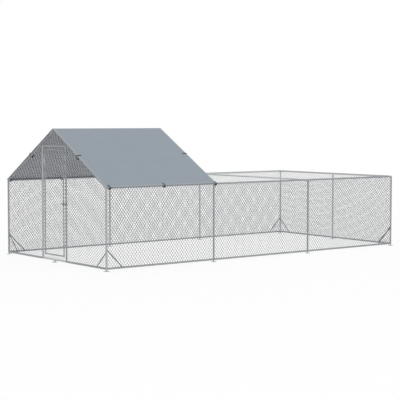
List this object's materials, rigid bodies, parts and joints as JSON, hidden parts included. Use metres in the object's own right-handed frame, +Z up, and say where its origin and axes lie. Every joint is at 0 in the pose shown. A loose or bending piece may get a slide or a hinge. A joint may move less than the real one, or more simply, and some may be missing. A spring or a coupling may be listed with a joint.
{
  "type": "chicken run",
  "caption": "Walk-in chicken run: galvanised tube frame with hexagonal wire walls, a hinged door with a sliding bolt, and a ball-tied roof cover over the door end.",
  "frame": {"origin": "on the ground at the middle of the footprint", "axes": "+X from the door gable to the far end, +Y from the near long wall to the back wall, +Z up"},
  "size_m": [5.763, 2.8666, 1.9702],
  "materials": {
    "galvanised_tube": "galvanised, satin",
    "zinc_fitting": "zinc plated, satin",
    "dark_fitting": "dark grey, satin",
    "netting_wire": "galvanised wire, dull",
    "cover_cloth": "coated woven cloth, dull blue grey",
    "eyelet_metal": "pressed, satin",
    "elastic_cord": "woven sheath, dull black",
    "tie_ball": "moulded, satin black"
  },
  "bodies": {
    "frame": {"base_rails_near": "galvanised_tube", "base_rails_back": "galvanised_tube", "base_rails_far_end": "galvanised_tube", "base_rails_door_end": "galvanised_tube", "corner_post_door_near": "galvanised_tube", "corner_post_door_back": "galvanised_tube", "corner_post_far_near": "galvanised_tube", "corner_post_far_back": "galvanised_tube", "side_posts_near": "galvanised_tube", "side_posts_back": "galvanised_tube", "end_post_far": "galvanised_tube", "door_post_hinge_side": "galvanised_tube", "door_post_latch_side": "galvanised_tube", "door_head_tube": "galvanised_tube", "top_rails_near": "galvanised_tube", "top_rails_back": "galvanised_tube", "top_rails_far_end": "galvanised_tube", "open_run_tie": "galvanised_tube", "house_tie": "galvanised_tube", "door_gable_rafters": "galvanised_tube", "inner_gable_rafters": "galvanised_tube", "ridge_tube": "galvanised_tube", "base_corner_hubs": "zinc_fitting", "base_tee_hubs": "zinc_fitting", "top_side_hubs": "zinc_fitting", "top_end_hubs": "zinc_fitting", "door_eave_hubs": "zinc_fitting", "inner_eave_hubs": "zinc_fitting", "ridge_hubs": "zinc_fitting", "foot_plates": "zinc_fitting", "frame_screws": "zinc_fitting", "hinge_post_leaves": "zinc_fitting", "hinge_pins": "zinc_fitting", "corner_braces": "dark_fitting", "latch_keeper": "dark_fitting", "near_wire_1": "netting_wire", "near_wire_2": "netting_wire", "near_wire_3": "netting_wire", "back_wire_1": "netting_wire", "back_wire_2": "netting_wire", "back_wire_3": "netting_wire", "far_wire_near": "netting_wire", "far_wire_back": "netting_wire", "gable_wire_near": "netting_wire", "gable_wire_back": "netting_wire", "gable_wire_over_door": "netting_wire", "roof_wire_near": "netting_wire", "roof_wire_back": "netting_wire", "roof_cover": "cover_cloth", "cover_eyelets": "eyelet_metal", "tie_loops": "elastic_cord", "tie_balls": "tie_ball"},
    "door": {"door_stiles": "galvanised_tube", "door_rails": "galvanised_tube", "door_wire": "netting_wire", "hinge_door_leaves": "zinc_fitting", "door_screws": "zinc_fitting", "latch_bracket": "dark_fitting"},
    "latch_bolt": {"latch_bolt": "zinc_fitting"}
  },
  "joints": [
    {"name": "door_swing", "type": "hinge", "parent": "frame", "child": "door", "pos_m": [-2.8375, 0.29675, 0.9], "axis": [0, 0, -1], "range_deg": [0, 120]},
    {"name": "bolt_slide", "type": "slide", "parent": "door", "child": "latch_bolt", "axis": [0, -1, 0], "range_m": [0, 0.035]}
  ]
}
